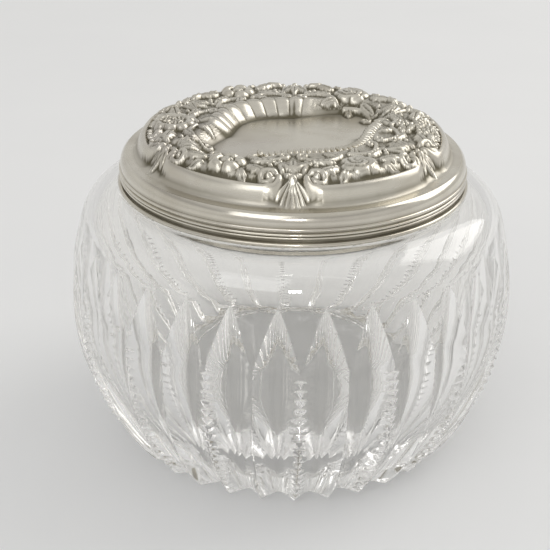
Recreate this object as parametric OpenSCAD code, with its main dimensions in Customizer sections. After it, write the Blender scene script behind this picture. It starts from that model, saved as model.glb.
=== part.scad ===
// Powder jar: a fluted glass bowl with a silver mounted neck and a domed silver lid.
// Millimetres, +Z up, origin at the middle of the foot, front of the jar towards -Y.

/* [Glass bowl] */
// Largest diameter, over the crests of the ridges
belly_d = 115; // [95:1:150]
// Height of the largest diameter above the table
belly_z = 39; // [30:1:48]
// Diameter of the foot, over the crests of the ridges
foot_d = 84; // [66:1:90]
// Height of the top of the rounded shoulder
shoulder_h = 70.4; // [58:0.2:86]
// Radius of the rounded shoulder
shoulder_r = 12; // [10:0.5:15]
// Radius of the gently curved side between the belly and the shoulder
upper_side_r = 80; // [65:1:110]
// Thickness of the glass wall, measured from the crests of the ridges
wall = 7.5; // [6:0.25:9.5]
// Thickness of the glass floor
floor_t = 8; // [5:0.5:12]
// Radius of the flat part of the inside floor
floor_r = 28; // [20:1:32]

/* [Flutes] */
// Number of flutes around the bowl
flute_count = 32; // [20:2:40]
// Depth of a flute at the belly
flute_depth = 2.6; // [1.8:0.1:3.5]
// Depth of a flute at the foot, measured level
flute_foot_depth = 4; // [1.5:0.1:5]
// Height at which neighbouring flutes meet in a ridge
flute_meet_z = 45; // [40:1:50]
// Height of the pointed tops of the flutes
flute_top_z = 60; // [54:0.5:64]
// Width of the blunt crest left between two flutes, as a share of their spacing
crest_share = 0.03; // [0.02:0.01:0.1]
// Angle between the front of the jar and the nearest ridge
flute_turn = 2.7; // [0:0.1:11]

/* [Neck] */
// Outer diameter of the glass neck
neck_d = 81.2; // [66:0.2:94]
// Thickness of the glass around the mouth
neck_wall = 4.1; // [3:0.1:6]
// Thickness of the plaster between the neck and the silver
plaster_t = 1.05; // [0.6:0.05:2]

/* [Silver mount] */
// Thickness of the silver sheet
sheet = 0.6; // [0.4:0.05:0.8]
// Height of the collar, from the shoulder to the ledge that the lid rests on
collar_h = 1.9; // [1.5:0.1:6]
// How far the collar stands out from the bezel
ledge_w = 1.15; // [0.95:0.05:2.5]
// Height of the wire around the foot of the collar
foot_wire_h = 1.1; // [0.8:0.05:1.4]
// How far the foot wire stands out from the collar
foot_wire_w = 1.1; // [0.75:0.05:2]
// Height of the bezel above the ledge
bezel_h = 4; // [2.5:0.1:4.8]
// How far the lip of the bezel covers the top of the glass
lip_cover = 1; // [0.5:0.1:2]

/* [Lid] */
// Radial clearance between the bezel and the lid's inner band
lid_fit = 0.05; // [0.02:0.01:0.1]
// Height of the lid, from its rim to the top of the dome
lid_h = 13.3; // [12:0.1:20]
// Height of the moulded rim
rim_h = 2.7; // [2.2:0.1:3.6]
// Thickness of the moulded rim behind its beads
rim_t = 0.8; // [0.8:0.05:1.4]
// Height of the upright part of the side, above the rim
upright_h = 0.8; // [0.5:0.1:3]
// Height of the rounded part of the side
curve_h = 2.4; // [1.8:0.1:2.5]
// Radius of the rounded part of the side
side_r = 3; // [2.6:0.1:4.5]
// Width of the plain channel around the dome
channel_w = 2; // [1:0.1:4]
// Radius of the rounded edge of the dome
dome_edge_r = 7.3; // [4:0.1:8]
// Radius of the sunk panel in the middle of the dome
panel_r = 18; // [8:0.5:20]
// Depth of the sunk panel below the top of the dome
panel_depth = 4.6; // [1:0.1:5]

/* [Hidden] */
$fn = 96;
past = 1;                                  // how far a cutter runs past what it cuts

// Radius of an arc that starts upright and comes in by dr over a height dz
function upright_arc(dz, dr) = (dz * dz + dr * dr) / (2 * dr);

// Radius at a height dz from the level where an arc of radius arc is upright at radius r
function side_r_at(r, arc, dz) = r - arc + sqrt(arc * arc - dz * dz);

// Height at which the shoulder's arc leaves the arc of the upper side
function join_z(upper, shoulder) =
    shoulder_z + shoulder * (shoulder_z - belly_z) / (upper - shoulder);

// Radius over the crests at a height
function crest_r(z) =
    z < belly_z ? side_r_at(belly_r, lower_side_r, belly_z - z)
    : z < tangent_z ? side_r_at(belly_r, upper_side_r, z - belly_z)
    : shoulder_x + sqrt(max(0, pow(shoulder_r, 2) - pow(z - shoulder_z, 2)));

// Half width of a flute at a height, as a share of half the spacing
function flute_half(z) =
    (1 - crest_share) * (z <= flute_meet_z ? 1
    : max(narrowest, pow(max(0, (flute_top_z - z) / (flute_top_z - flute_meet_z)), 0.75)));

// Depth along the middle of a flute at a height
function flute_dip(z) =
    z < belly_z ? flute_foot_depth + (flute_depth - flute_foot_depth) * z / belly_z
    : z < flute_top_z ? flute_depth * pow(flute_half(z) / (1 - crest_share), 2)
    : 0;

// Rings around the neck, from the glass outwards
neck_r = neck_d / 2;
bezel_in_r = neck_r + plaster_t;
bezel_r = bezel_in_r + sheet;
band_in_r = bezel_r + lid_fit;
band_r = band_in_r + sheet;
collar_r = bezel_r + ledge_w;
seat_r = collar_r + foot_wire_w;
cap_r = band_r + rim_t;

// Side of the bowl over the crests: an arc from the foot to the belly, one from the belly
// up, and the arc of the shoulder, which is tangent to it
belly_r = belly_d / 2;
foot_r = foot_d / 2;
lower_side_r = upright_arc(belly_z, belly_r - foot_r);
shoulder_z = shoulder_h - shoulder_r;
shoulder_x = belly_r - upper_side_r
           + sqrt(pow(upper_side_r - shoulder_r, 2) - pow(shoulder_z - belly_z, 2));
tangent_z = join_z(upper_side_r, shoulder_r);

// The collar stands where the shoulder has risen to the collar's outer edge
seat_z = seat_r < shoulder_x ? shoulder_h
       : shoulder_z + sqrt(pow(shoulder_r, 2) - pow(seat_r - shoulder_x, 2));
lid_z = seat_z + collar_h;
bezel_top = lid_z + bezel_h;
neck_top = bezel_top - sheet;

// Levels and columns of the fluted surface. Columns are shares of a flute's half width
meet_levels = 5;
lancet_levels = 4;
shoulder_levels = 4;
levels = concat(
    [for (i = [0 : meet_levels - 1]) flute_meet_z * i / meet_levels],
    [for (i = [0 : lancet_levels]) flute_meet_z + (flute_top_z - flute_meet_z) * i / lancet_levels],
    [for (i = [1 : shoulder_levels])
        flute_top_z + (seat_z - flute_top_z) * sin(90 * i / shoulder_levels)]);
columns = [-1, 0, 1];
narrowest = 0.02;                          // half width left above the flutes' pointed tops

// Lid, in heights above its rim
side_z = rim_h + upright_h;
step_z = side_z + curve_h;
step_r = cap_r - side_r + sqrt(side_r * side_r - curve_h * curve_h);
dome_flat_r = step_r - channel_w - dome_edge_r;
rim_beads = [[rim_h - 0.4, 0.4], [1, 0.3], [0.25, 0.25]];   // height and radius of each

// Half section of the inside of the bowl
module cavity_section() {
    belly = belly_r - wall;
    lower = upright_arc(belly_z - floor_t, belly - floor_r);
    upper = upper_side_r - wall;
    shoulder = shoulder_r - wall;
    turn_z = join_z(upper, shoulder);
    translate([0, floor_t]) square([floor_r, belly_z - floor_t]);
    intersection() {
        translate([belly - lower, belly_z]) circle(lower);
        translate([0, floor_t]) square([belly, belly_z - floor_t]);
    }
    intersection() {
        translate([belly - upper, belly_z]) circle(upper);
        translate([0, belly_z]) square([belly, turn_z - belly_z]);
    }
    intersection() {
        union() {
            translate([shoulder_x, shoulder_z]) circle(shoulder);
            square([shoulder_x, shoulder_z + shoulder]);
        }
        translate([0, turn_z]) square([belly, shoulder]);
    }
    translate([0, belly_z]) square([neck_r - neck_wall, neck_top + past - belly_z]);
}

// Point of the fluted surface at a level, in flute i and column c
function flute_point(z, i, c) =
    let (turn = flute_turn - 90 + (i + 0.5 + c * flute_half(z) / 2) * 360 / flute_count,
         r = crest_r(z) - flute_dip(z) * (1 - c * c))
    [r * cos(turn), r * sin(turn), z];

// Solid body of the bowl up to the seat of the collar, with its flutes
module fluted_body() {
    around = flute_count * len(columns);
    points = [for (z = levels, i = [0 : flute_count - 1], c = columns) flute_point(z, i, c)];
    sides = [for (k = [0 : len(levels) - 2], i = [0 : around - 1])
        let (a = k * around + i, b = k * around + (i + 1) % around)
        each [[a, a + around, b + around], [a, b + around, b]]];
    foot = [for (i = [0 : around - 1]) i];
    top = [for (i = [around - 1 : -1 : 0]) (len(levels) - 1) * around + i];
    polyhedron(points, concat(sides, [foot, top]));
}

// Ring with a rectangular section
module ring(r_in, r_out, z0, z1) {
    rotate_extrude() translate([r_in, z0]) square([r_out - r_in, z1 - z0]);
}

module glass_jar() {
    color("aliceblue") difference() {
        union() {
            fluted_body();
            translate([0, 0, belly_z]) cylinder(r = neck_r, h = neck_top - belly_z);
        }
        rotate_extrude() cavity_section();
    }
}

module plaster_bed() {
    color("ivory") ring(neck_r, bezel_in_r, seat_z, neck_top);
}

module neck_collar() {
    color("darkkhaki") {
        ring(collar_r - sheet, collar_r, seat_z, lid_z);
        ring(bezel_r, collar_r, lid_z - sheet, lid_z);
    }
}

module collar_foot_wire() {
    round_r = foot_wire_h / 2;
    color("gainsboro") rotate_extrude() {
        translate([collar_r, seat_z]) square([foot_wire_w - round_r, foot_wire_h]);
        translate([seat_r - round_r, seat_z + round_r]) circle(round_r);
    }
}

module collar_bezel() {
    color("silver") {
        ring(bezel_in_r, bezel_r, seat_z, bezel_top);
        ring(neck_r - lip_cover, bezel_r, neck_top, bezel_top);
    }
}

// Half section of the lid, brought in by an inset, in heights above its rim
module cap_section(inset, z0) {
    translate([0, z0]) square([cap_r - inset, side_z - z0]);
    intersection() {
        union() {
            translate([cap_r - side_r, side_z]) circle(side_r - inset);
            square([cap_r - side_r, step_z]);
        }
        translate([0, z0]) square([cap_r, step_z - inset - z0]);
    }
    difference() {
        intersection() {
            union() {
                translate([dome_flat_r, lid_h - dome_edge_r]) circle(dome_edge_r - inset);
                square([dome_flat_r, lid_h]);
                square([dome_flat_r + dome_edge_r - inset, lid_h - dome_edge_r]);
            }
            translate([0, z0]) square([cap_r, lid_h - inset - z0]);
        }
        translate([0, lid_h - panel_depth - inset]) square([panel_r + inset, lid_h]);
    }
}

module lid_cap() {
    color("silver") translate([0, 0, lid_z]) rotate_extrude() difference() {
        cap_section(0, rim_h);
        cap_section(sheet, rim_h - past);
    }
}

module lid_rim_wire() {
    color("gainsboro") translate([0, 0, lid_z]) rotate_extrude() {
        translate([band_r, 0]) square([rim_t, rim_h]);
        for (bead = rim_beads) translate([cap_r, bead[0]]) circle(bead[1]);
    }
}

module lid_inner_band() {
    color("silver") translate([0, 0, lid_z]) ring(band_in_r, band_r, 0, side_z);
}

glass_jar();
plaster_bed();
neck_collar();
collar_foot_wire();
collar_bezel();
lid_cap();
lid_rim_wire();
lid_inner_band();
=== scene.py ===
"""A dressing-table powder jar: a fluted cut-glass bowl, its silver mount and its chased silver lid.

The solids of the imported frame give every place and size. Meshes are worked out in millimetres
and turned into metres when they are made: +Z is up and the front of the jar is towards -Y.
"""

import logging
import math
from dataclasses import dataclass, field
from enum import Enum
from functools import partial
from typing import Callable, Sequence

import bpy
import numpy as np
from mathutils import Matrix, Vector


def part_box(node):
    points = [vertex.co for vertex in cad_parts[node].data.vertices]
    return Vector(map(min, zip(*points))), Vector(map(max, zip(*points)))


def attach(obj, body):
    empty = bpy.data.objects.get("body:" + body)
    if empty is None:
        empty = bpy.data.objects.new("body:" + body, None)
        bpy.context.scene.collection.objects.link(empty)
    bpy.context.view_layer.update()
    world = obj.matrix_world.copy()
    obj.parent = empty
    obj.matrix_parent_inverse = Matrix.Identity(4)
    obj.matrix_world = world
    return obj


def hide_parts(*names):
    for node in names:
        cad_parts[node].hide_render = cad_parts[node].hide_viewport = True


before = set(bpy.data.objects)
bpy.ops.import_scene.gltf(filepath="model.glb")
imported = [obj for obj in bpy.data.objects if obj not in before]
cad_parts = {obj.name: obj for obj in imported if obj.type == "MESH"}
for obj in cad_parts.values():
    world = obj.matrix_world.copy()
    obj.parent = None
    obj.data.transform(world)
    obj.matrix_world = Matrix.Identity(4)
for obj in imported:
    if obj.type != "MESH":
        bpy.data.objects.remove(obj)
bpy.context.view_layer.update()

LOG = logging.getLogger("powder_jar")
MM = 0.001

Point = tuple[float, float]


# ---------------------------------------------------------------- small tools

def top_of(node: str) -> float:
    """Height in millimetres of the top of a solid."""
    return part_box(node)[1].z / MM


def bottom_of(node: str) -> float:
    """Height in millimetres of the underside of a solid."""
    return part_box(node)[0].z / MM


def radius_of(node: str) -> float:
    """Largest radius in millimetres of a round solid."""
    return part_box(node)[1].x / MM


def smooth_step(low: float, high: float, value: np.ndarray | float) -> np.ndarray:
    """Rise from 0 at low to 1 at high, level at both ends."""
    t = np.clip((np.asarray(value, float) - low) / (high - low), 0, 1)
    return t * t * (3 - 2 * t)


def arc(centre: Point, radius: float, start: float, end: float, count: int) -> list[Point]:
    """Points along an arc of a half section.

    Args:
        centre: Radius and height of the arc's centre, in millimetres.
        radius: Radius of the arc, in millimetres.
        start: Angle of the first point, in degrees from outwards towards up.
        end: Angle of the last point, in degrees.
        count: Number of points.

    Returns:
        The points, each a radius and a height.
    """
    turns = np.radians(np.linspace(start, end, count))
    return [(centre[0] + radius * math.cos(a), centre[1] + radius * math.sin(a)) for a in turns]


def mesh_piece(name: str, points: np.ndarray, faces: Sequence[Sequence[int]],
               sharp_deg: float = 40.0) -> bpy.types.Object:
    """Make a mesh object at the origin from points in millimetres.

    Args:
        name: Name of the piece.
        points: Places of the vertices, one row each.
        faces: Corners of each face, turning anticlockwise seen from outside.
        sharp_deg: Edges that turn by more than this stay crisp.

    Returns:
        The new object, linked to the scene.
    """
    mesh = bpy.data.meshes.new(name)
    mesh.from_pydata((points * MM).tolist(), [], faces)
    mesh.polygons.foreach_set("use_smooth", [True] * len(mesh.polygons))
    mesh.set_sharp_from_angle(angle=math.radians(sharp_deg))
    mesh.validate()
    piece = bpy.data.objects.new(name, mesh)
    bpy.context.scene.collection.objects.link(piece)
    return piece


def mark(piece: bpy.types.Object, name: str, values: np.ndarray) -> None:
    """Store a number for each vertex, for a material to read."""
    attribute = piece.data.attributes.new(name, "FLOAT", "POINT")
    attribute.data.foreach_set("value", np.asarray(values, np.float32))


def turned(name: str, section: Sequence[Point], tone: Callable[[float, float], float],
           sides: int = 288, sharp_deg: float = 40.0) -> bpy.types.Object:
    """Turn a closed half section about the jar's axis.

    Args:
        name: Name of the piece.
        section: Radius and height of each corner, going anticlockwise (out, up, in, down).
        tone: Gives how dark the silver is made at a radius and height, from 0 to 1; on the collar and
            foot wire this is painted shade.
        sides: Number of columns around.
        sharp_deg: Edges that turn by more than this stay crisp.

    Returns:
        The ring or shell, closed where the section meets the axis.
    """
    turns = np.linspace(0, 2 * np.pi, sides, endpoint=False)
    points, rows = [], []
    for r, z in section:
        start = len(points)
        if r < 1e-6:
            points.append((0.0, 0.0, z))
            rows.append([start] * sides)
        else:
            points.extend(zip(r * np.cos(turns), r * np.sin(turns), [z] * sides))
            rows.append(list(range(start, start + sides)))
    on_axis = [len(set(row)) == 1 for row in rows]
    faces = []
    for k, row in enumerate(rows):
        nxt = (k + 1) % len(rows)
        if on_axis[k] and on_axis[nxt]:
            continue
        for i in range(sides):
            j = (i + 1) % sides
            corners = [row[i], row[j], rows[nxt][j], rows[nxt][i]]
            faces.append([c for n, c in enumerate(corners) if c not in corners[:n]])
    piece = mesh_piece(name, np.array(points), faces, sharp_deg)
    levels = [tone(math.hypot(x, y), z) for x, y, z in points]
    mark(piece, "recess", np.array(levels))
    return piece


# ---------------------------------------------------------------- shader maths

class Value:
    """A number that varies over a surface, held by the socket that gives it."""

    def __init__(self, shader: "Shader", socket: bpy.types.NodeSocket) -> None:
        """Wrap a socket of a shader."""
        self.shader = shader
        self.socket = socket

    def _math(self, operation: str, *terms: "Value | float") -> "Value":
        """Add a Math node on these terms and wrap its result."""
        inputs = {i: t for i, t in enumerate(terms)}
        made = self.shader.node("ShaderNodeMath", {"operation": operation}, inputs)
        return Value(self.shader, made.outputs[0])

    def __add__(self, other: "Value | float") -> "Value":
        """This plus other."""
        return self._math("ADD", self, other)

    def __radd__(self, other: float) -> "Value":
        """A number plus this."""
        return self._math("ADD", other, self)

    def __sub__(self, other: "Value | float") -> "Value":
        """This minus other."""
        return self._math("SUBTRACT", self, other)

    def __rsub__(self, other: float) -> "Value":
        """A number minus this."""
        return self._math("SUBTRACT", other, self)

    def __mul__(self, other: "Value | float") -> "Value":
        """This times other."""
        return self._math("MULTIPLY", self, other)

    def __rmul__(self, other: float) -> "Value":
        """A number times this."""
        return self._math("MULTIPLY", other, self)

    def clamped(self) -> "Value":
        """This, kept from 0 to 1."""
        return self._math("MINIMUM", self._math("MAXIMUM", self, 0.0), 1.0)


def add_node(tree: bpy.types.NodeTree, kind: str, settings: dict | None = None,
             sockets: dict | None = None) -> bpy.types.Node:
    """Add a node to a tree.

    Args:
        tree: The tree.
        kind: Type of the node.
        settings: Properties, set first; "stops" holds a ramp's positions and colours.
        sockets: Numbers, colours, sockets or Values for the inputs, by name or index.

    Returns:
        The new node.
    """
    made = tree.nodes.new(kind)
    for key, value in (settings or {}).items():
        if key == "stops":
            elements = made.color_ramp.elements
            while len(elements) < len(value):
                elements.new(0.5)
            for element, (position, colour) in zip(elements, value):
                element.position = position
                element.color = colour
        else:
            setattr(made, key, value)
    for key, value in (sockets or {}).items():
        socket = value.socket if isinstance(value, Value) else value
        if isinstance(socket, bpy.types.NodeSocket):
            tree.links.new(socket, made.inputs[key])
        else:
            made.inputs[key].default_value = socket
    return made


class Shader:
    """A material that is being built around one Principled surface."""

    def __init__(self, name: str) -> None:
        """Start an empty material."""
        self.material = bpy.data.materials.new(name)
        self.material.use_nodes = True
        self.tree = self.material.node_tree
        self.tree.nodes.clear()
        self.place = self.node("ShaderNodeTexCoord").outputs["Object"]

    def node(self, kind: str, settings: dict | None = None,
             sockets: dict | None = None) -> bpy.types.Node:
        """Add a node to this material, as add_node does."""
        return add_node(self.tree, kind, settings, sockets)

    def noise(self, scale: float, detail: float = 2.0, stretch: tuple = (1, 1, 1)) -> Value:
        """Noise from 0 to 1 in object space, of a scale in cells per metre."""
        stretched = self.node("ShaderNodeMapping", {}, {"Vector": self.place, "Scale": stretch})
        inputs = {"Vector": stretched.outputs[0], "Scale": scale, "Detail": detail}
        return Value(self, self.node("ShaderNodeTexNoise", {}, inputs).outputs["Fac"])

    def stored(self, name: str) -> Value:
        """The number that a mesh stores under this name."""
        made = self.node("ShaderNodeAttribute", {"attribute_name": name})
        return Value(self, made.outputs["Fac"])

    def mix(self, share: Value, first: tuple | bpy.types.NodeSocket,
            second: tuple | bpy.types.NodeSocket) -> bpy.types.NodeSocket:
        """Blend two colours: first where share is 0, second where it is 1."""
        made = self.node("ShaderNodeMix", {"data_type": "RGBA"},
                         {0: share, 6: first, 7: second})
        return made.outputs[2]

    def bump(self, height: Value, strength: float, depth: float) -> bpy.types.NodeSocket:
        """A normal tilted by a height, whose full range is depth metres."""
        made = self.node("ShaderNodeBump", {},
                         {"Height": height, "Strength": strength, "Distance": depth})
        return made.outputs["Normal"]

    def finish(self, sockets: dict) -> bpy.types.Material:
        """Add the Principled surface and the output, and return the material."""
        surface = self.node("ShaderNodeBsdfPrincipled", {}, sockets)
        self.node("ShaderNodeOutputMaterial", {}, {"Surface": surface.outputs[0]})
        return self.material


# ---------------------------------------------------------------- finishes

@dataclass(frozen=True)
class ClearGlass:
    """Clear glass, cut and polished by hand."""

    tint: tuple = (0.974, 0.970, 0.958, 1)
    worn_tint: tuple = (0.955, 0.950, 0.935, 1)
    ior: float = 1.54

    def build(self) -> bpy.types.Material:
        """Make the material.

        Returns:
            Glass with faint polishing waves and a slightly hazier, greyer wear.
        """
        shader = Shader("clear_glass")
        cloud = shader.noise(45, 3)
        wear = ((cloud - 0.52) * 3.0).clamped()
        waves = shader.noise(160, 1, (1, 1, 0.35))
        return shader.finish({
            "Base Color": shader.mix(wear, self.tint, self.worn_tint),
            "Roughness": wear * 0.02,
            "Normal": shader.bump(waves, 0.12, 0.00018),
            "IOR": self.ior,
            "Transmission Weight": 1.0,
        })


@dataclass(frozen=True)
class Silver:
    """Polished silver, tarnished in the hollows, with painted shade where a piece stores it as recess,
    and painted dark reflection streaks.
    """

    name: str
    bright: tuple = (0.72, 0.685, 0.60, 1)
    warm: tuple = (0.50, 0.45, 0.36, 1)
    # Colour of the painted dark reflection streaks.
    painted_streaks: tuple = (0.40, 0.365, 0.36, 1)
    # Colour of tarnish in the hollows, also used as painted shade on the collar and foot wire.
    tarnish_and_shade_colour: tuple = (0.10, 0.086, 0.052, 1)
    polish: float = 0.13
    scratch_depth: float = 0.00002

    def build(self) -> bpy.types.Material:
        """Make the material.

        Returns:
            Metal whose colour and gloss follow the stored recess (tarnished hollows, and painted shade
            on the collar and foot wire), with painted dark reflection streaks and fine wiping scratches.
        """
        shader = Shader(self.name)
        recess = shader.stored("recess")
        cloud = shader.noise(90, 4)
        bloom = ((cloud - 0.42) * 2.2).clamped()
        # Stored recess: tarnished hollows on the relief and rim, painted shade on the collar and foot
        # wire.
        tarnish_and_shade = (recess * (0.7 + 0.6 * cloud)).clamped()
        # Painted reflection: dark violet-grey bands running round the silver stand in for reflected
        # darker surroundings.
        painted_streaks = ((shader.noise(55, 3, (0.3, 0.3, 5)) - 0.5) * 3.2).clamped()
        polished = shader.mix(bloom * 0.7, self.bright, self.warm)
        with_streaks = shader.mix(painted_streaks * 0.55, polished, self.painted_streaks)
        rubs = shader.noise(700, 2, (1, 1, 4))
        return shader.finish({
            "Base Color": shader.mix(tarnish_and_shade, with_streaks, self.tarnish_and_shade_colour),
            "Metallic": 1.0 - tarnish_and_shade * 0.35,
            "Roughness": self.polish + 0.1 * bloom + tarnish_and_shade * 0.28,
            "Normal": shader.bump(rubs, 0.4, self.scratch_depth),
        })


@dataclass(frozen=True)
class Plaster:
    """Old set plaster that beds the mount on the glass."""

    pale: tuple = (0.96, 0.955, 0.935, 1)
    stained: tuple = (0.86, 0.80, 0.62, 1)

    def build(self) -> bpy.types.Material:
        """Make the material.

        Returns:
            Matt off-white plaster with brown stains and a grainy surface.
        """
        shader = Shader("plaster")
        stain = ((shader.noise(70, 5) - 0.4) * 2.5).clamped()
        grain = shader.noise(1800, 3)
        return shader.finish({
            "Base Color": shader.mix(stain, self.pale, self.stained),
            "Roughness": 0.8 + 0.15 * grain,
            "Normal": shader.bump(grain, 0.6, 0.0002),
        })


# ---------------------------------------------------------------- bowl

@dataclass
class FlutedBowl:
    """The glass bowl: a shouldered body with hollow flutes, and a plain neck.

    Every other ridge between the flutes is notched, and the flutes end in points above.
    """

    body: str = "jar"
    count: int = 32
    turn_deg: float = 2.7
    belly_z: float = 39.0
    upper_r: float = 80.0
    shoulder_r: float = 12.0
    foot_r: float = 42.0
    wall: float = 7.5
    shoulder_wall: float = 3.8
    floor: float = 8.0
    floor_r: float = 28.0
    depth: float = 2.6
    foot_depth: float = 3.6
    root_round: float = 0.45
    meet_z: float = 45.0
    tip_z: float = 60.0
    notch_pitch: float = 2.4
    notch_depth: float = 0.95
    notch_from: float = 2.6
    notches: int = 17
    neck_r: float = 40.55
    mouth_r: float = 36.5
    seat_gap: float = 0.03
    widest: float = 0.97
    narrowest: float = 0.02
    foot_edge: float = 0.45
    foot_hollow: float = 0.7
    floor_dish: float = 0.15
    steps_per_notch: int = 6
    across: tuple = (-1, -0.88, -0.74, -0.5, -0.16, 0, 0.16, 0.5, 0.74, 0.88, 1)
    land: tuple = (0.25, 0.5, 0.75)
    seat_r: float = field(init=False)
    seat_z: float = field(init=False)
    belly_r: float = field(init=False)
    top_z: float = field(init=False)

    def __post_init__(self) -> None:
        """Take the outer sizes from the solids."""
        self.belly_r = radius_of("glass_jar")
        self.top_z = top_of("glass_jar")
        self.seat_r = radius_of("collar_foot_wire")
        self.seat_z = bottom_of("collar_foot_wire") - self.seat_gap
        drop = self.belly_r - self.foot_r
        self.lower_r = (self.belly_z ** 2 + drop ** 2) / (2 * drop)
        rise = self.upper_r - self.shoulder_r
        self.shoulder_x, self.shoulder_z = self._shoulder(rise)
        self.tangent_z = self.shoulder_z + self.shoulder_r * (self.shoulder_z - self.belly_z) / rise

    def _shoulder(self, rise: float) -> Point:
        """Centre of the shoulder's arc, which touches the upper side and passes the seat.

        Args:
            rise: Radius of the upper side less that of the shoulder.

        Returns:
            Radius and height of the centre.
        """
        best = (0.0, 0.0)
        for height in np.linspace(self.seat_z - self.shoulder_r, self.seat_z, 2001):
            x = self.belly_r - self.upper_r + math.sqrt(rise ** 2 - (height - self.belly_z) ** 2)
            reach = self.shoulder_r ** 2 - (self.seat_r - x) ** 2
            if reach > 0 and height + math.sqrt(reach) <= self.seat_z + 0.004:
                best = (x, height)
        return best

    def crest(self, z: float) -> float:
        """Radius over the ridges at a height."""
        if z < self.belly_z:
            return self.belly_r - self.lower_r + math.sqrt(
                self.lower_r ** 2 - (self.belly_z - z) ** 2)
        if z < self.tangent_z:
            return self.belly_r - self.upper_r + math.sqrt(
                self.upper_r ** 2 - (z - self.belly_z) ** 2)
        return self.shoulder_x + math.sqrt(
            max(0.0, self.shoulder_r ** 2 - (z - self.shoulder_z) ** 2))

    def half(self, z: float) -> float:
        """Half width of a flute at a height, as a share of half their spacing."""
        if z <= self.meet_z:
            return self.widest
        if z >= self.tip_z:
            return self.narrowest + 0.82 * float(smooth_step(self.tip_z, self.tip_z + 5, z))
        left = (self.tip_z - z) / (self.tip_z - self.meet_z)
        return max(self.narrowest, self.widest * left ** 0.75)

    def dip(self, z: float) -> float:
        """Depth along the middle of a flute at a height."""
        if z < self.belly_z:
            low = float(smooth_step(self.belly_z, 0, z))
            return self.depth + (self.foot_depth - self.depth) * low
        if z < self.tip_z:
            return self.depth * (self.half(z) / self.widest) ** 1.25
        return 0.0

    def heights(self) -> list[float]:
        """Levels of the outside: six to a notch, then closer steps up to the seat."""
        first = [0.0, self.foot_edge, 1.2]
        fine = self.steps_per_notch
        notched = [self.notch_from + self.notch_pitch * k / fine
                   for k in range(fine * self.notches + 1)]
        start = notched[-1] + 0.3
        lancet = list(np.linspace(start, self.tip_z - 0.15, 20))
        shoulder = list(self.tip_z + (self.seat_z - self.tip_z)
                        * np.sin(np.linspace(0, np.pi / 2, 17)))
        return first + notched + lancet + shoulder

    def ring(self, z: float) -> tuple[np.ndarray, np.ndarray]:
        """Angles and radii of the outside at a height.

        Args:
            z: Height in millimetres.

        Returns:
            Two arrays, one item for each column.
        """
        step = 2 * math.pi / self.count
        half = self.half(z)
        crest = self.crest(z)
        dip = self.dip(z)
        c = np.array(self.across, float)
        root = self.root_round
        hollow = ((math.hypot(1, root) - np.hypot(c, root)) / (math.hypot(1, root) - root))
        phase = (z - self.notch_from) / self.notch_pitch
        bite = 0.0
        if 0 < phase < self.notches:
            bite = self.notch_depth * (1 - abs(2 * (phase % 1) - 1))
        edge_in = 0.5 * (1 - z / self.foot_edge) if z < self.foot_edge else 0.0
        angles, radii = [], []
        for i in range(self.count):
            middle = math.radians(self.turn_deg - 90) + (i + 0.5) * step
            flute = middle + c * half * step / 2
            land = middle + (half + np.array(self.land) * 2 * (1 - half)) * step / 2
            angles.append(np.concatenate([flute, land]))
            shape = np.concatenate([crest - dip * hollow, np.full(len(land), crest)])
            limit = np.full(len(shape), crest)
            cut = crest - bite
            before = np.arange(len(shape)) < len(c) // 2
            notched_here = before if i % 2 == 0 else ~before
            limit[notched_here] = cut
            radii.append(np.minimum(shape, limit) - edge_in)
        return np.concatenate(angles), np.concatenate(radii)

    def inside(self) -> list[Point]:
        """Half section of the neck and the inside, from the seat over the rim to the floor."""
        belly = self.belly_r - self.wall
        drop = belly - self.floor_r
        rise = self.belly_z - self.floor
        lower = (rise ** 2 + drop ** 2) / (2 * drop)
        shoulder = self.shoulder_r - self.shoulder_wall
        fall = math.degrees(math.asin(rise / lower))
        turn = math.degrees(math.asin((self.shoulder_z - self.belly_z)
                                      / (self.upper_r - self.shoulder_r)))
        lip = self.neck_r - self.mouth_r
        points = [(self.neck_r + 0.6, self.seat_z), (self.neck_r, self.seat_z + 0.6)]
        points += arc((self.neck_r - lip / 2, self.top_z - lip / 2), lip / 2, 0, 180, 9)
        points += [(self.mouth_r, self.shoulder_z + shoulder + 0.8)]
        points += [(self.mouth_r + 0.8, self.shoulder_z + shoulder)]
        points += arc((self.shoulder_x, self.shoulder_z), shoulder, 88, turn, 7)
        for a in np.linspace(turn, 0, 11)[1:]:
            thick = self.wall + (self.shoulder_wall - self.wall) * float(a) / turn
            centre = (self.belly_r - self.upper_r, self.belly_z)
            points += arc(centre, self.upper_r - thick, float(a), float(a), 1)
        points += arc((belly - lower, self.belly_z), lower, 0, -fall, 15)[1:]
        points += [(self.floor_r * k / 4, self.floor - self.floor_dish * (4 - k) / 4) for k in (3, 2, 1)]
        return points

    def bubbles(self) -> list[tuple[float, float, float, float]]:
        """Air bubbles in the wall: turn in degrees, depth from the ridges, height and radius."""
        return [(-51.0, 4.6, 43.5, 1.0), (-54.5, 5.0, 41.0, 0.45), (38.0, 5.2, 57.0, 0.5)]

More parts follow.
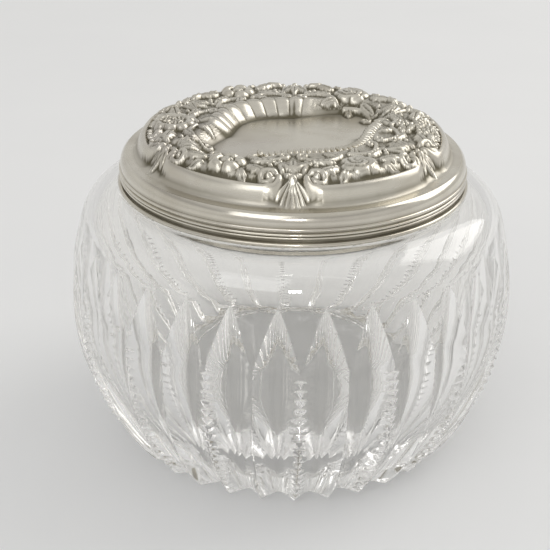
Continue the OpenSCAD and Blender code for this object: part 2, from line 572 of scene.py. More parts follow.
    def build(self, glass: bpy.types.Material) -> bpy.types.Object:
        """Make the bowl as one closed mesh, with its bubbles as voids.

        Args:
            glass: The glass.

        Returns:
            The piece, riding on the jar and standing for its solid.
        """
        columns = self.count * (len(self.across) + len(self.land))
        plain = self.ring(self.seat_z)[0]
        hollow = ((18.0, self.foot_hollow), (33.0, self.foot_hollow), (34.0, 0.0))
        rows = [(plain, np.full(columns, r), z) for r, z in hollow]
        rows += [(*self.ring(z), z) for z in self.heights()]
        rows += [(plain, np.full(columns, r), z) for r, z in self.inside()]
        points = [np.stack([r * np.cos(a), r * np.sin(a), np.full(columns, z)], 1)
                  for a, r, z in rows]
        poles = np.array([[0, 0, self.foot_hollow], [0, 0, self.floor - self.floor_dish]])
        points = np.concatenate([poles, *points])
        faces = []
        for i in range(columns):
            j = (i + 1) % columns
            faces.append((0, 2 + j, 2 + i))
            for k in range(len(rows) - 1):
                low = 2 + k * columns
                faces.append((low + i, low + j, low + columns + j, low + columns + i))
            last = 2 + (len(rows) - 1) * columns
            faces.append((1, last + i, last + j))
        points, faces = self._with_voids(points, faces)
        piece = mesh_piece("fluted_glass_bowl", points, faces, 24)
        piece.data.materials.append(glass)
        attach(piece, self.body)
        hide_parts("glass_jar")
        return piece

    def _with_voids(self, points: np.ndarray, faces: list) -> tuple[np.ndarray, list]:
        """Add the bubbles, whose faces point into the air that they hold."""
        sides, rings = 16, 9
        for turn, inward, z, radius in self.bubbles():
            place = math.radians(turn - 90)
            r = self.crest(z) - inward
            middle = np.array([r * math.cos(place), r * math.sin(place), z])
            start = len(points)
            ball = [(0.0, 0.0, -1.0)]
            for k in range(1, rings):
                lift = math.pi * k / rings - math.pi / 2
                ball += [(math.cos(lift) * math.cos(a), math.cos(lift) * math.sin(a),
                          math.sin(lift)) for a in np.arange(sides) * 2 * math.pi / sides]
            ball.append((0.0, 0.0, 1.0))
            points = np.concatenate([points, middle + radius * np.array(ball)])
            last = start + len(ball) - 1
            for i in range(sides):
                j = (i + 1) % sides
                faces.append((start, start + 1 + i, start + 1 + j))
                for k in range(rings - 2):
                    low = start + 1 + k * sides
                    faces.append((low + i, low + sides + i, low + sides + j, low + j))
                faces.append((last, last - sides + j, last - sides + i))
        return points, faces


# ---------------------------------------------------------------- silver mount

@dataclass
class SilverMount:
    """The collar on the neck, its foot wire and the bezel that the lid fits over."""

    body: str = "jar"
    sheet: float = 0.6
    edge: float = 0.14
    lip_reach: float = 2.05

    def build(self, silver: bpy.types.Material) -> list[bpy.types.Object]:
        """Make the three rings.

        Args:
            silver: The plain silver.

        Returns:
            The pieces, riding on the jar.
        """
        made = [self._foot_wire(), self._collar(), self._bezel()]
        for piece, node in zip(made, ("collar_foot_wire", "neck_collar", "collar_bezel")):
            piece.data.materials.append(silver)
            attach(piece, self.body)
            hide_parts(node)
        return made

    def _foot_wire(self) -> bpy.types.Object:
        """Half-round wire around the foot of the collar, with painted shade where it meets the collar.
        """
        outer, inner = radius_of("collar_foot_wire"), radius_of("neck_collar")
        low, high = bottom_of("collar_foot_wire"), top_of("collar_foot_wire")
        half = (high - low) / 2
        section = [(inner, low)]
        section += arc((outer - half, low + half), half, -90, 90, 13)
        section += [(inner, high)]
        # Painted shade: the wire is made dark along its edges against the collar, like the shaded gap
        # under the lid.
        return turned("half_round_foot_wire", section,
                      lambda r, z: 0.9 if r < inner + 0.25 else 0.12)

    def _collar(self) -> bpy.types.Object:
        """Upright band and the ledge that the lid rests on, with painted shade on the band's outer face.
        """
        outer = radius_of("neck_collar")
        inner = radius_of("collar_bezel")
        low, high = bottom_of("neck_collar"), top_of("neck_collar")
        e = self.edge
        section = [(outer - self.sheet, low), (outer, low), (outer, high - e), (outer - e, high),
                   (inner, high), (inner, high - self.sheet),
                   (outer - self.sheet, high - self.sheet)]
        # Painted shade: the band's outer face, in the gap under the lid's rim, is stored as deep recess
        # so it comes out dark.
        return turned("collar_band_and_ledge", section,
                      lambda r, z: 0.75 if r > outer - 0.2 else 0.1)

    def _bezel(self) -> bpy.types.Object:
        """Upright bezel with a rounded lip turned in over the glass."""
        outer = radius_of("collar_bezel")
        low, high = bottom_of("collar_bezel"), top_of("collar_bezel")
        lip = radius_of("plaster_bed") - self.lip_reach
        half = self.sheet / 2
        section = [(outer - self.sheet, low), (outer, low)]
        section += arc((outer - half, high - half), half, 0, 90, 7)
        section += arc((lip + half, high - half), half, 90, 270, 7)
        section += [(outer - self.sheet, high - self.sheet)]
        return turned("bezel_with_lip", section, lambda r, z: 0.15)


# ---------------------------------------------------------------- relief

class Bloom(Enum):
    """The kinds of flower in the lobes of the lid."""

    WILD_ROSE = "five broad petals around a knob"
    CABBAGE_ROSE = "petals wrapped round and round"
    PEONY = "a wide ruffled cup full of seeds"
    POSY = "a bunch of small blossoms"


class Relief:
    """Height of the chased top over a disc, and the tools that raise ornament on it."""

    def __init__(self, radius: float, cells: int) -> None:
        """Lay an even grid over a disc.

        Args:
            radius: Radius of the disc, in millimetres.
            cells: Number of cells across.
        """
        side = np.linspace(-1, 1, cells + 1)
        a, b = np.meshgrid(side, side, indexing="ij")
        flat = np.abs(a) > np.abs(b)
        first = np.where(flat, a, b)
        second = np.where(flat, b, a)
        safe = np.where(first == 0, 1, first)
        eighth = np.pi / 4
        turn = eighth + np.where(flat, eighth * second / safe, eighth * (2 - second / safe))
        self.x = radius * first * np.cos(turn)
        self.y = radius * first * np.sin(turn)
        self.r = np.hypot(self.x, self.y)
        self.turn = np.degrees(np.arctan2(self.x, -self.y))
        self.cells = cells
        self.ground = np.zeros_like(self.r)
        self.h = np.zeros_like(self.r)

    def raise_to(self, height: np.ndarray) -> None:
        """Lift the surface to this much above the ground, where it is lower."""
        self.h = np.maximum(self.h, height)

    def local(self, place: Point, turn_deg: float) -> tuple[np.ndarray, np.ndarray]:
        """Distances along and across a direction, from a place.

        Args:
            place: Where the motif is, in millimetres.
            turn_deg: Direction of the motif, in degrees from +X.

        Returns:
            Two arrays over the disc.
        """
        c, s = math.cos(math.radians(turn_deg)), math.sin(math.radians(turn_deg))
        dx, dy = self.x - place[0], self.y - place[1]
        return dx * c + dy * s, dy * c - dx * s

    def stroke(self, path: np.ndarray, width: Sequence[float], height: Sequence[float],
               groove: float = 0.0) -> None:
        """Raise a rounded bar along a path.

        Args:
            path: Points of the path, one row each.
            width: Half width at the start and at the end.
            height: Height at the start and at the end.
            groove: Depth of a line chased along the middle.
        """
        steps = len(path) - 1
        wide = max(width) + 0.5
        for k in range(steps):
            p, q = path[k], path[k + 1]
            low, high = np.minimum(p, q) - wide, np.maximum(p, q) + wide
            near = ((self.x > low[0]) & (self.x < high[0])
                    & (self.y > low[1]) & (self.y < high[1]))
            if not near.any():
                continue
            d = q - p
            px, py = self.x[near] - p[0], self.y[near] - p[1]
            t = np.clip((px * d[0] + py * d[1]) / max(float(d @ d), 1e-9), 0, 1)
            gap = np.hypot(px - t * d[0], py - t * d[1])
            share = (k + t) / steps
            w = width[0] + (width[1] - width[0]) * share
            top = height[0] + (height[1] - height[0]) * share
            bar = top * np.sqrt(np.clip(1 - (gap / w) ** 2, 0, 1))
            bar -= groove * np.exp(-(gap / 0.22) ** 2)
            self.h[near] = np.maximum(self.h[near], bar)

    def leaf(self, place: Point, turn_deg: float, length: float, width: float,
             height: float, lobes: int = 4) -> None:
        """Raise a veined leaf with a scalloped edge.

        Args:
            place: Foot of the leaf.
            turn_deg: Direction of its tip, in degrees from +X.
            length: Length of the leaf.
            width: Half its width.
            height: Height of its back.
            lobes: Number of scallops on each side.
        """
        u, v = self.local(place, turn_deg)
        s = np.clip(u / length, 0, 1)
        edge = width * np.sin(np.pi * s ** 0.8) ** 0.7
        edge = edge * (0.8 + 0.2 * np.abs(np.cos(np.pi * lobes * s))) + 1e-6
        inside = (u > 0) & (u < length) & (np.abs(v) < edge)
        share = np.abs(v) / edge
        body = height * (1 - share ** 3) * (0.75 + 0.25 * np.sin(np.pi * s))
        vein = 0.42 * np.exp(-(v / 0.22) ** 2)
        ribs = 0.16 * np.cos(2 * np.pi * (lobes * s - share * 0.8))
        self.raise_to(np.where(inside, body - vein + ribs * share, 0))

    def ball(self, place: Point, radius: float, height: float) -> None:
        """Raise a round berry."""
        d = np.hypot(self.x - place[0], self.y - place[1]) / radius
        self.raise_to(height * np.sqrt(np.clip(1 - d * d, 0, 1)))

    def fan(self, place: Point, turn_deg: float, radius: float, spread: float,
            ribs: int, height: float) -> None:
        """Raise a scallop shell.

        Args:
            place: Hinge of the shell.
            turn_deg: Direction that it opens, in degrees from +X.
            radius: Length of its ribs.
            spread: Half its opening, in degrees.
            ribs: Number of ribs.
            height: Height of the ribs.
        """
        u, v = self.local(place, turn_deg)
        d = np.hypot(u, v)
        a = np.degrees(np.arctan2(v, u))
        wave = np.abs(np.sin(np.pi * ribs * (a + spread) / (2 * spread)))
        rim = radius * (0.86 + 0.14 * wave)
        inside = (np.abs(a) < spread) & (d < rim)
        body = height * (0.45 + 0.55 * wave ** 0.7) * (1 - (d / rim) ** 6)
        body *= 0.55 + 0.45 * np.clip(d / radius, 0, 1)
        self.raise_to(np.where(inside, body, 0))

    def flower(self, place: Point, radius: float, kind: Bloom, turn_deg: float,
               height: float) -> None:
        """Raise a flower of one of the kinds.

        Args:
            place: Centre of the flower.
            radius: Radius over its petals.
            kind: Which flower it is.
            turn_deg: Turn of its petals.
            height: Height of its petals.
        """
        if kind is Bloom.POSY:
            self._posy(place, radius, turn_deg, height)
            return
        u, v = self.local(place, turn_deg)
        d, a = np.hypot(u, v), np.arctan2(v, u)
        petals = {Bloom.WILD_ROSE: 5, Bloom.CABBAGE_ROSE: 6, Bloom.PEONY: 9}[kind]
        wave = np.abs(np.cos(petals * a / 2))
        rim = radius * (0.8 + 0.2 * wave ** 0.5)
        share = np.clip(d / rim, 0, 1)
        if kind is Bloom.WILD_ROSE:
            body = height * (0.5 + 0.5 * wave ** 0.45) * (1 - share ** 6)
            body -= 0.45 * height * np.exp(-((share - 0.36) / 0.12) ** 2)
            body -= 0.18 * np.abs(np.sin(petals * a / 2)) ** 12
            knob = 0.95 * height * np.sqrt(np.clip(1 - (d / (0.26 * radius)) ** 2, 0, 1))
            body = np.maximum(body, knob)
        elif kind is Bloom.CABBAGE_ROSE:
            twist = (3.2 * share ** 0.85 + 1.5 * a / np.pi) % 1.0
            body = height * (1.05 - 0.55 * share ** 2.2) * (0.62 + 0.38 * twist ** 0.6)
            body *= 1 - share ** 10
        else:
            cup = np.exp(-((share - 0.74) / 0.2) ** 2)
            body = height * (0.35 + 0.75 * cup * (0.75 + 0.25 * wave)) * (1 - share ** 10)
            for n in range(30):
                out, spin = 0.42 * radius * math.sqrt(n / 30), 2.39996 * n
                spot = (place[0] + out * math.cos(spin), place[1] + out * math.sin(spin))
                self.ball(spot, 0.42, 0.95 * height)
        self.raise_to(np.where(d < rim, np.clip(body, 0, None), 0))

    def _posy(self, place: Point, radius: float, turn_deg: float, height: float) -> None:
        """Raise a bunch of five small wild roses round a sixth."""
        self.flower(place, 0.44 * radius, Bloom.WILD_ROSE, turn_deg, height * 1.05)
        for k in range(5):
            a = math.radians(turn_deg + 72 * k)
            reach = 0.72 * radius
            spot = (place[0] + reach * math.cos(a), place[1] + reach * math.sin(a))
            self.flower(spot, 0.36 * radius, Bloom.WILD_ROSE, 50 * k, height * 0.85)

    @staticmethod
    def blurred(height: np.ndarray, steps: int) -> np.ndarray:
        """Average each point with its four neighbours, over and over."""
        for _ in range(steps):
            padded = np.pad(height, 1, mode="edge")
            height = (padded[:-2, 1:-1] + padded[2:, 1:-1] + padded[1:-1, :-2]
                      + padded[1:-1, 2:] + height) / 5
        return height

    def recess(self) -> np.ndarray:
        """How far each point lies below its neighbours, from 0 to 1.

        Narrow gaps fade out on the rolled edge, and wide hollows count only inside it.
        """
        total = self.ground + self.h
        near = self.blurred(total, 8)
        far = self.blurred(near, 52)
        narrow = np.clip((near - total) / 0.2, 0, 1)
        narrow *= 1 - 0.75 * smooth_step(38.5, 40.0, self.r)
        wide = np.clip((far - total) / 0.55, 0, 1)
        return np.clip(narrow + 0.8 * wide * smooth_step(38.0, 36.0, self.r), 0, 1)

    def surface(self, name: str, base: float) -> bpy.types.Object:
        """Make the mesh of the top.

        Args:
            name: Name of the piece.
            base: Height that the relief is measured from.

        Returns:
            The mesh, with its recess stored for the silver.
        """
        n = self.cells + 1
        points = np.stack([self.x, self.y, base + self.ground + self.h], -1).reshape(-1, 3)
        i, j = np.meshgrid(np.arange(n - 1), np.arange(n - 1), indexing="ij")
        k = (i * n + j).ravel()
        faces = np.stack([k, k + n, k + n + 1, k + 1], 1).tolist()
        piece = mesh_piece(name, points, faces, 70)
        mark(piece, "recess", self.recess().ravel())
        return piece

    def height_at(self, x: float, y: float) -> float:
        """Height of the ground nearest to a place, with its ornament."""
        k = int(np.argmin((self.x - x) ** 2 + (self.y - y) ** 2))
        return float((self.ground + self.h).ravel()[k])


# ---------------------------------------------------------------- milled borders

class MilledBorder:
    """A Geometry Nodes tree that sets rounded bars side by side along a path."""

    def __init__(self, silver: bpy.types.Material) -> None:
        """Build the tree once.

        Args:
            silver: Finish of the bars.
        """
        self.tree = bpy.data.node_groups.new("milled_border", "GeometryNodeTree")
        face = self.tree.interface
        face.new_socket("Geometry", in_out="INPUT", socket_type="NodeSocketGeometry")
        for name in ("Pitch", "Bar width", "Bar length", "Bar height"):
            face.new_socket(name, in_out="INPUT", socket_type="NodeSocketFloat")
        face.new_socket("Geometry", in_out="OUTPUT", socket_type="NodeSocketGeometry")
        node = partial(add_node, self.tree)
        given = node("NodeGroupInput")
        path = node("GeometryNodeMeshToCurve", {}, {0: given.outputs["Geometry"]})
        even = node("GeometryNodeResampleCurve", {"mode": "LENGTH"},
                    {"Curve": path.outputs[0], "Length": given.outputs["Pitch"]})
        along = node("GeometryNodeInputTangent")
        turn = node("FunctionNodeAlignRotationToVector", {"axis": "X"},
                    {"Vector": along.outputs[0]})
        upright = node("FunctionNodeAlignRotationToVector",
                       {"axis": "Z", "pivot_axis": "X"},
                       {"Rotation": turn.outputs[0], "Vector": (0.0, 0.0, 1.0)})
        bar = node("GeometryNodeMeshUVSphere", {},
                   {"Segments": 8, "Rings": 6, "Radius": 0.5})
        size = node("ShaderNodeCombineXYZ", {}, {
            0: given.outputs["Bar width"], 1: given.outputs["Bar length"],
            2: given.outputs["Bar height"]})
        rounded = node("GeometryNodeSetShadeSmooth", {}, {0: bar.outputs[0]})
        placed = node("GeometryNodeInstanceOnPoints", {}, {
            "Points": even.outputs[0], "Instance": rounded.outputs[0],
            "Rotation": upright.outputs[0], "Scale": size.outputs[0]})
        real = node("GeometryNodeRealizeInstances", {}, {0: placed.outputs[0]})
        dressed = node("GeometryNodeSetMaterial", {},
                       {"Geometry": real.outputs[0], "Material": silver})
        node("NodeGroupOutput", {}, {0: dressed.outputs[0]})

    def run(self, name: str, paths: Sequence[np.ndarray], pitch: float,
            bar: tuple[float, float, float]) -> bpy.types.Object:
        """Set bars along each path and bake them into one plain mesh.

        Args:
            name: Name of the piece.
            paths: Points of each path, in millimetres.
            pitch: Distance from bar to bar.
            bar: Width, length and height of a bar.

        Returns:
            The baked piece.
        """
        points = np.concatenate(paths)
        edges, start = [], 0
        for path in paths:
            edges += [(start + k, start + k + 1) for k in range(len(path) - 1)]
            start += len(path)
        guide_mesh = bpy.data.meshes.new(name + "_path")
        guide_mesh.from_pydata((points * MM).tolist(), edges, [])
        guide = bpy.data.objects.new(name + "_path", guide_mesh)
        bpy.context.scene.collection.objects.link(guide)
        modifier = guide.modifiers.new("milled", "NODES")
        modifier.node_group = self.tree
        sizes = dict(zip(("Pitch", "Bar width", "Bar length", "Bar height"), (pitch, *bar)))
        for item in self.tree.interface.items_tree:
            if item.in_out == "INPUT" and item.name in sizes:
                modifier[item.identifier] = sizes[item.name] * MM
        shown = guide.evaluated_get(bpy.context.evaluated_depsgraph_get())
        mesh = bpy.data.meshes.new_from_object(shown)
        mesh.name = name
        guide.modifiers.remove(modifier)
        bpy.data.objects.remove(guide)
        piece = bpy.data.objects.new(name, mesh)
        bpy.context.scene.collection.objects.link(piece)
        mark(piece, "recess", np.zeros(len(mesh.vertices)))
        return piece


# ---------------------------------------------------------------- lid

@dataclass(frozen=True)
class Lobe:
    """One of the six lobes of ornament on the lid."""

    turn: float
    bloom: Bloom
    bloom_r: float
    bloom_size: float
    milled: bool


@dataclass
class Lid:
    """The domed lid: a moulded rim, a plain rounded side and a chased top."""

    body: str = "lid"
    sheet: float = 0.6
    rim_back: float = 0.8
    side_round: float = 3.0
    upright: float = 0.8
    curve: float = 2.4
    channel: float = 2.0
    dome_round: float = 7.3
    under: float = 1.5
    panel_depth: float = 4.6
    panel_turn: float = 42.0
    panel_r: float = 17.2
    milled_r: float = 20.4
    cells: int = 300
    lobes: tuple[Lobe, ...] = (
        Lobe(-30, Bloom.WILD_ROSE, 31.0, 4.9, False),
        Lobe(30, Bloom.CABBAGE_ROSE, 31.0, 5.0, False),
        Lobe(90, Bloom.POSY, 30.8, 5.6, True),
        Lobe(150, Bloom.CABBAGE_ROSE, 30.8, 5.0, True),
        Lobe(-150, Bloom.WILD_ROSE, 30.8, 4.9, True),
        Lobe(-90, Bloom.PEONY, 30.3, 6.2, True),
    )
    borders: list[np.ndarray] = field(default_factory=list)

    def __post_init__(self) -> None:
        """Take the outer sizes from the solids."""
        self.base = bottom_of("lid_rim_wire")
        self.rim = top_of("lid_rim_wire") - self.base
        self.height = top_of("lid_cap") - self.base
        self.outer = radius_of("lid_cap")
        self.band = radius_of("lid_inner_band")
        self.side_top = self.rim + self.upright
        self.step_h = self.side_top + self.curve
        self.step_r = (self.outer - self.side_round
                       + math.sqrt(self.side_round ** 2 - self.curve ** 2))
        self.crest_r = self.step_r - self.channel - self.dome_round
        self.top_r = self.step_r - 0.25

    # -- shape of the top

    def outline(self, turn: np.ndarray | float) -> np.ndarray:
        """Radius of the lobed outline of the ornament at a turn from the front, in degrees."""
        from_lobe = np.abs((np.asarray(turn, float) + 360) % 60 - 30)
        return self.step_r - 2.1 - 3.6 * smooth_step(19.5, 28, from_lobe)

    def dome(self, r: np.ndarray) -> np.ndarray:
        """Height of the envelope of the dome over a radius."""
        out = np.clip(np.asarray(r, float) - self.crest_r, 0, self.dome_round)
        return self.height - self.dome_round + np.sqrt(self.dome_round ** 2 - out ** 2)

    def panel_rim(self, a: np.ndarray, r: float) -> np.ndarray:
        """Radius of the panel's outline at angles from its long axis, for a waist of r."""
        return r + 9.0 * np.abs(np.cos(a)) ** 7 - 1.4 * np.abs(np.sin(2 * a)) ** 2

    def panel_gap(self, x: np.ndarray, y: np.ndarray) -> np.ndarray:
        """Rough distance outside the plain panel, a lozenge with hollow sides and two tips."""
        tilt = math.radians(self.panel_turn)
        u = x * math.cos(tilt) + y * math.sin(tilt)
        v = y * math.cos(tilt) - x * math.sin(tilt)
        d, a = np.hypot(u, v), np.arctan2(v, u)
        return d - self.panel_rim(a, self.panel_r)

    def lay_ground(self, top: Relief) -> None:
        """Give the relief its ground: channel, dome, notches between the lobes and panel."""
        inside = self.outline(top.turn) - top.r
        channel = self.step_h + 0.1 * (self.step_r - top.r)
        ramp = channel + 4.2 * smooth_step(self.step_r - 2.2, self.step_r - 8.5, top.r)
        dome = self.dome(top.r) - self.under - 0.7 * smooth_step(7.0, 2.0, inside)
        lobe = smooth_step(-1.3, 2.6, inside)
        ground = ramp + (np.maximum(dome, ramp) - ramp) * lobe
        ground = ground - 0.8 * np.exp(-((inside - 4.4) / 0.8) ** 2) * lobe
        gap = self.panel_gap(top.x, top.y)
        panel = self.height - self.panel_depth + 0.15 * smooth_step(14, 0, top.r)
        slope = smooth_step(-0.6, 5.0, gap) ** 0.8
        top.ground = panel + (ground - panel) * slope

    def polar(self, turn: float, r: float) -> Point:
        """Place at a turn from the front and a radius."""
        a = math.radians(turn)
        return (r * math.sin(a), -r * math.cos(a))

    def scroll(self, lobe: Lobe, side: int) -> np.ndarray:
        """Path of a C-scroll along half a lobe's edge, ending in a volute."""
        points = []
        for t in np.linspace(0.0, 20.5, 28):
            turn = lobe.turn + side * t
            points.append(self.polar(turn, float(self.outline(turn)) - 2.2))
        hub_turn = lobe.turn + side * 20.9
        hub = np.array(self.polar(hub_turn, float(self.outline(hub_turn)) - 4.7))
        a = math.radians(hub_turn)
        outward = np.array([math.sin(a), -math.cos(a)])
        onward = side * np.array([math.cos(a), math.sin(a)])
        for s in np.linspace(0.06, 1, 30):
            wind = 2 * math.pi * 1.5 * s
            reach = 2.5 * (1 - s) ** 0.8 + 0.3
            points.append(hub + reach * (math.cos(wind) * outward + math.sin(wind) * onward))
        return np.array(points)

    def ornament(self, top: Relief) -> None:
        """Raise the scrolls, flowers, leaves and shells."""
        for k, lobe in enumerate(self.lobes):
            for side in (-1, 1):
                path = self.scroll(lobe, side)
                top.stroke(path, (1.25, 0.75), (1.15, 1.5))
                top.ball(tuple(path[-1]), 0.8, 1.6)
                self._leaves(top, lobe, side)
            centre = self.polar(lobe.turn, lobe.bloom_r)
            top.flower(centre, lobe.bloom_size, lobe.bloom, 37.0 * k, 1.7)
            self._notch(top, lobe.turn + 30)
        self._panel_scrolls(top)
        self._panel_flutes(top)
        self._matting(top)

    def _leaves(self, top: Relief, lobe: Lobe, side: int) -> None:
        """Raise the leaves and sprigs on one side of a lobe's flower."""
        out = lobe.turn - 90
        spread = 5.5 + lobe.bloom_size * 0.95
        # place beside and beyond the flower, lean, length, half width, height, scallops
        leaves = ((spread, 0.4, 78, 6.6, 2.0, 1.25, 4),
                  (spread - 2, 2.6, 48, 4.6, 1.35, 1.05, 3),
                  (spread - 1, -2.8, 118, 6.2, 1.6, 1.2, 4),
                  (4, -lobe.bloom_size, 150, 5.0, 1.3, 1.1, 3))
        for aside, beyond, lean, *shape in leaves:
            root = self.polar(lobe.turn + side * aside, lobe.bloom_r + beyond)
            top.leaf(root, out + side * lean, *shape)
        for n in range(3):
            spot = self.polar(lobe.turn + side * (19.5 + 2.2 * n), 29.2 - 1.2 * n)
            top.ball(spot, 0.62 - 0.08 * n, 0.95)

    def _notch(self, top: Relief, turn: float) -> None:
        """Raise the ornament between two lobes: a shell in front, sprays elsewhere."""
        front = abs(turn % 360) < 1
        hinge = self.polar(turn, 35.0)
        if front:
            top.fan(hinge, turn - 90, 5.4, 56, 7, 1.25)
        else:
            for lean, length in ((0, 5.0), (-40, 4.2), (40, 4.2)):
                top.leaf(hinge, turn - 90 + lean, length, 1.15, 1.1, 2)
        top.ball(self.polar(turn, 35.4), 1.15, 1.7)
        for side in (-1, 1):
            root = self.polar(turn + side * 2.2, 33.2)
            top.leaf(root, turn + 90 + side * 38, 7.5, 1.75, 1.3)
            curl = [self.polar(turn + side * (2.0 + 5.5 * t), 33.8 - 7 * t * t - 1.2 * t)
                    for t in np.linspace(0, 1, 12)]
            top.stroke(np.array(curl), (0.8, 0.4), (1.25, 0.7), 0.15)
        top.leaf(self.polar(turn, 33.0), turn + 90, 7.0, 1.7, 1.35)

    def _panel_scrolls(self, top: Relief) -> None:
        """Raise paired C-scrolls around the plain panel, with a leaf where they meet."""
        for k in range(6):
            turn = 60.0 * k + 30
            for side in (-1, 1):
                path = []
                for t in np.linspace(0, 1, 26):
                    a = turn + side * (3 + 21 * t)
                    path.append(self.polar(a, 24.6 + 1.9 * math.sin(math.pi * t)))
                end = np.array(path[-1])
                a = math.radians(turn + side * 24)
                inward = np.array([-math.sin(a), math.cos(a)])
                onward = side * np.array([math.cos(a), math.sin(a)])
                for s in np.linspace(0.1, 1, 16):
                    wind = 2 * math.pi * s
                    reach = 1.5 * (1 - 0.75 * s)
                    path.append(end + 1.5 * inward
                                - reach * (math.cos(wind) * inward - math.sin(wind) * onward))
                top.stroke(np.array(path), (0.75, 0.4), (1.0, 0.95), 0.18)

    def _panel_flutes(self, top: Relief) -> None:
        """Raise a broad fluted border along the far side of the plain panel."""
        turn = np.degrees(np.arctan2(top.y, top.x)) - self.panel_turn
        turn = (turn + 360) % 360
        gap = self.panel_gap(top.x, top.y)
        window = smooth_step(30, 44, turn) * smooth_step(142, 130, turn)
        window = window * smooth_step(-0.3, 0.8, gap) * smooth_step(6.6, 5.2, gap)
        wave = np.abs(np.sin(np.radians(turn) * 21.5 * np.pi / 3.9)) ** 0.6
        top.raise_to(window * (0.1 + 0.5 * wave))

    def _matting(self, top: Relief) -> None:
        """Punch the low ground between the ornament with small dots."""
        random = np.random.default_rng(7)
        dots = random.random(top.h.shape)
        low = (top.h < 0.12) & (self.panel_gap(top.x, top.y) > 1.2)
        low &= top.r < self.outline(top.turn) - 1.5
        top.h = np.where(low, top.h + 0.16 * dots, top.h)

    # -- pieces

    def build(self, chased: bpy.types.Material, silver: bpy.types.Material
              ) -> list[bpy.types.Object]:
        """Make the lid's shown pieces.

        Args:
            chased: Silver for the relief.
            silver: Silver for the plain parts.

        Returns:
            The pieces, riding on the lid.
        """
        top = Relief(self.top_r, self.cells)
        self.lay_ground(top)
        self.ornament(top)
        top.h = np.minimum(top.h, self.height - 0.02 - top.ground)
        relief = top.surface("chased_top", self.base)
        side = self._side()
        rim = self._rim()
        borders = self._borders(top, chased)
        for piece, finish, slot in ((relief, chased, "chased_silver"),
                                    (side, silver, "chased_silver"), (rim, silver, "silver")):
            piece.data.materials.append(finish)
            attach(piece, self.body)
            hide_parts("lid_rim_wire" if piece is rim else "lid_cap")
        for piece in borders:
            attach(piece, self.body)
        return [relief, side, rim, *borders]

    def _side(self) -> bpy.types.Object:
        """Rounded side of the lid and its lining, up to the edge of the chased top."""
        out, base = self.outer, self.base
        lean = math.degrees(math.asin(self.curve / self.side_round))
        centre = (out - self.side_round, base + self.side_top)
        step_z = base + self.step_h
        section = [(out - self.sheet, base + self.rim), (out, base + self.rim)]
        section += arc(centre, self.side_round, 0, lean, 14)
        edge_r, edge_z = section[-1]
        section += [(edge_r - 0.12, step_z + 0.03), (self.top_r - 0.4, step_z - 0.05)]
        ceiling = base + self.height - self.panel_depth - 0.9
        lining = [(self.top_r - 1.8, step_z - 0.5), (self.crest_r + 5.5, step_z - 0.3),
                  (self.crest_r + 3.0, step_z + 1.4), (self.crest_r, step_z + 3.3),
                  (28.5, ceiling + 0.5), (17.0, ceiling), (0.0, ceiling)]
        section += lining
        low = [(max(0.0, r - 0.2), z - 0.5) for r, z in reversed(lining)]
        section += low + arc(centre, self.side_round - self.sheet, lean - 6, 0, 8)
        return turned("rounded_lid_side", section,
                      lambda r, z: 0.5 if z < base + self.rim + 0.25 else 0.05, 288, 50)

    def _rim(self) -> bpy.types.Object:
        """Moulded wire around the rim, with three beads and a groove between each."""
        low, high = self.base, self.base + self.rim
        face = self.band + self.rim_back
        section = [(self.band, low), (face - 0.1, low)]
        section += arc((face, low + 0.27), 0.27, -80, 75, 9)
        section += [(face - 0.12, low + 0.62)]
        section += arc((face, low + 1.05), 0.34, -70, 70, 11)
        section += [(face - 0.14, low + 1.52), (face - 0.14, low + 1.78)]
        section += arc((face - 0.02, low + 2.28), 0.42, -70, 88, 13)
        section += [(self.band, high)]
        grooves = (low + 0.6, low + 1.6)

        def tone(r: float, z: float) -> float:
            """Dark in the grooves and clean on the beads."""
            near = min(abs(z - g) for g in grooves)
            return max(0.0, 0.95 - near / 0.32) if r < face + 0.1 else 0.0

        return turned("moulded_rim_wire", section, tone, 288, 30)

    def _borders(self, top: Relief, silver: bpy.types.Material) -> list[bpy.types.Object]:
        """Milled borders inside the lobes' edges and around the panel."""
        milling = MilledBorder(silver)
        edges, panel = [], []
        for lobe in self.lobes:
            if lobe.milled:
                for side in (-1, 1):
                    turns = [lobe.turn + side * t for t in np.linspace(3.0, 17.5, 12)]
                    edges.append(self._on_top(top, [
                        self.polar(t, float(self.outline(t)) - 4.6) for t in turns]))
        places = []
        for a in np.radians(np.linspace(208, 334, 60)):
            d = float(self.panel_rim(a, self.milled_r))
            b = a + math.radians(self.panel_turn)
            places.append((d * math.cos(b), d * math.sin(b)))
        panel.append(self._on_top(top, places) + np.array([0.0, 0.0, 0.3]))
        return [milling.run("milled_lobe_edges", edges, 1.5, (1.15, 2.3, 1.3)),
                milling.run("milled_panel_edge", panel, 1.5, (1.2, 3.4, 1.5))]

    def _on_top(self, top: Relief, places: Sequence[Point]) -> np.ndarray:
        """Points of a path laid on the relief."""
        return np.array([(x, y, self.base + top.height_at(x, y)) for x, y in places])


# ---------------------------------------------------------------- studio

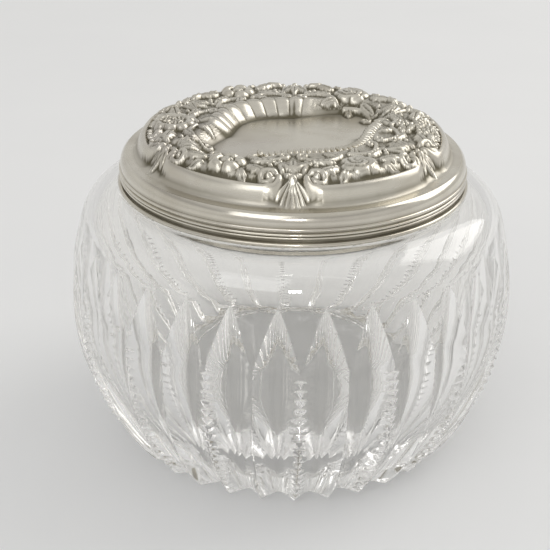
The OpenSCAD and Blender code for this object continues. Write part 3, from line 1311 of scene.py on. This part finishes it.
@dataclass
class Studio:
    """Pale floor, soft light and the camera."""

    floor_size: float = 6.0
    aim_z: float = 0.04262
    distance: float = 0.345
    elevation: float = 25.42
    roll: float = 1.06
    lens: float = 85.09
    shift: float = -0.0293
    floor_glow: float = 0.2
    sky_strength: float = 0.72
    sky_levels: tuple = ((0.0, 0.95), (0.1, 0.88), (0.3, 0.98), (0.45, 0.95), (0.62, 0.62),
                         (0.85, 0.95))
    bounces: int = 28

    def build(self) -> None:
        """Make the floor, the lights and the camera."""
        self._floor()
        self._sky()
        self._lamp("key", (0.95, 0.45, 0.8), 0.95, 5.2, (1.0, 0.985, 0.96))
        self._lamp("fill", (-0.4, -0.9, 0.9), 0.7, 2.2, (0.98, 0.99, 1.0))
        self._lamp("front_strip", (0.03, -0.75, 0.42), 0.09, 0.6, (1.0, 1.0, 1.0))
        self._camera()
        bpy.context.scene.view_settings.view_transform = "Standard"
        cycles = bpy.context.scene.cycles
        cycles.max_bounces = self.bounces
        cycles.transmission_bounces = self.bounces
        cycles.glossy_bounces = self.bounces

    def _floor(self) -> None:
        """A wide white paper floor with a faint mottle."""
        half = self.floor_size / 2 / MM
        points = np.array([(-half, -half, -0.02), (half, -half, -0.02),
                           (half, half, -0.02), (-half, half, -0.02)])
        floor = mesh_piece("paper_floor", points, [(0, 1, 2, 3)])
        shader = Shader("white_paper")
        mottle = shader.noise(14, 3)
        paper = shader.mix(mottle, (0.60, 0.60, 0.60, 1), (0.635, 0.635, 0.63, 1))
        floor.data.materials.append(shader.finish({
            "Base Color": paper, "Roughness": 0.8,
            "Emission Color": (1.0, 1.0, 0.995, 1), "Emission Strength": self.floor_glow}))

    def _sky(self) -> None:
        """Light tent: bright low down and overhead, with a dimmer band between."""
        world = bpy.data.worlds.new("light_tent")
        bpy.context.scene.world = world
        world.use_nodes = True
        world.node_tree.nodes.clear()
        node = partial(add_node, world.node_tree)
        stops = [(place, (level, level * 0.995, level * 0.98, 1))
                 for place, level in self.sky_levels]
        place = node("ShaderNodeTexCoord")
        parts = node("ShaderNodeSeparateXYZ", {}, {0: place.outputs["Generated"]})
        ramp = node("ShaderNodeValToRGB", {"stops": stops}, {0: parts.outputs["Z"]})
        glow = node("ShaderNodeBackground", {},
                    {"Color": ramp.outputs[0], "Strength": self.sky_strength})
        node("ShaderNodeOutputWorld", {}, {"Surface": glow.outputs[0]})

    def _lamp(self, name: str, place: tuple[float, float, float], size: float,
              watts: float, colour: tuple[float, float, float]) -> None:
        """A square soft box that faces the jar."""
        data = bpy.data.lights.new(name, "AREA")
        data.size = size
        data.energy = watts
        data.color = colour
        lamp = bpy.data.objects.new(name, data)
        bpy.context.scene.collection.objects.link(lamp)
        lamp.location = place
        towards = -np.array(place) + np.array((0, 0, self.aim_z))
        lamp.rotation_euler = self._look(towards)

    @staticmethod
    def _look(towards: np.ndarray) -> tuple[float, float, float]:
        """Turn that points an object's -Z axis along a direction."""
        flat = math.hypot(towards[0], towards[1])
        return (math.pi / 2 + math.atan2(towards[2], flat), 0.0,
                math.atan2(towards[1], towards[0]) - math.pi / 2)

    def _camera(self) -> None:
        """A long lens, level with the front of the jar and looking down on it."""
        data = bpy.data.cameras.new("camera")
        data.lens = self.lens
        data.sensor_width = 36
        data.shift_x = self.shift
        camera = bpy.data.objects.new("camera", data)
        bpy.context.scene.collection.objects.link(camera)
        tilt = math.radians(self.elevation)
        camera.location = (0, -self.distance * math.cos(tilt),
                           self.aim_z + self.distance * math.sin(tilt))
        look = Matrix.Rotation(math.pi / 2 - tilt, 3, "X") @ Matrix.Rotation(
            math.radians(self.roll), 3, "Z")
        camera.rotation_euler = look.to_euler()
        bpy.context.scene.camera = camera


# ---------------------------------------------------------------- the jar

def dress(node: str, finish: bpy.types.Material) -> None:
    """Give a solid that stays in view its finish."""
    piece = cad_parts[node]
    piece.data.materials.clear()
    piece.data.materials.append(finish)


def main() -> None:
    """Build the jar piece by piece, then the studio around it."""
    logging.basicConfig(level=logging.INFO, format="%(name)s: %(message)s")
    glass = ClearGlass().build()
    silver = Silver("silver").build()
    chased = Silver("chased_silver", polish=0.25, tarnish_and_shade_colour=(0.13, 0.115, 0.075, 1)).build()
    plaster = Plaster().build()
    pieces = [FlutedBowl().build(glass)]
    pieces += SilverMount().build(silver)
    pieces += Lid().build(chased, silver)
    dress("plaster_bed", plaster)
    dress("lid_inner_band", silver)
    Studio().build()
    for piece in pieces:
        LOG.info("%s: %d faces", piece.name, len(piece.data.polygons))


if __name__ == "__main__":
    main()
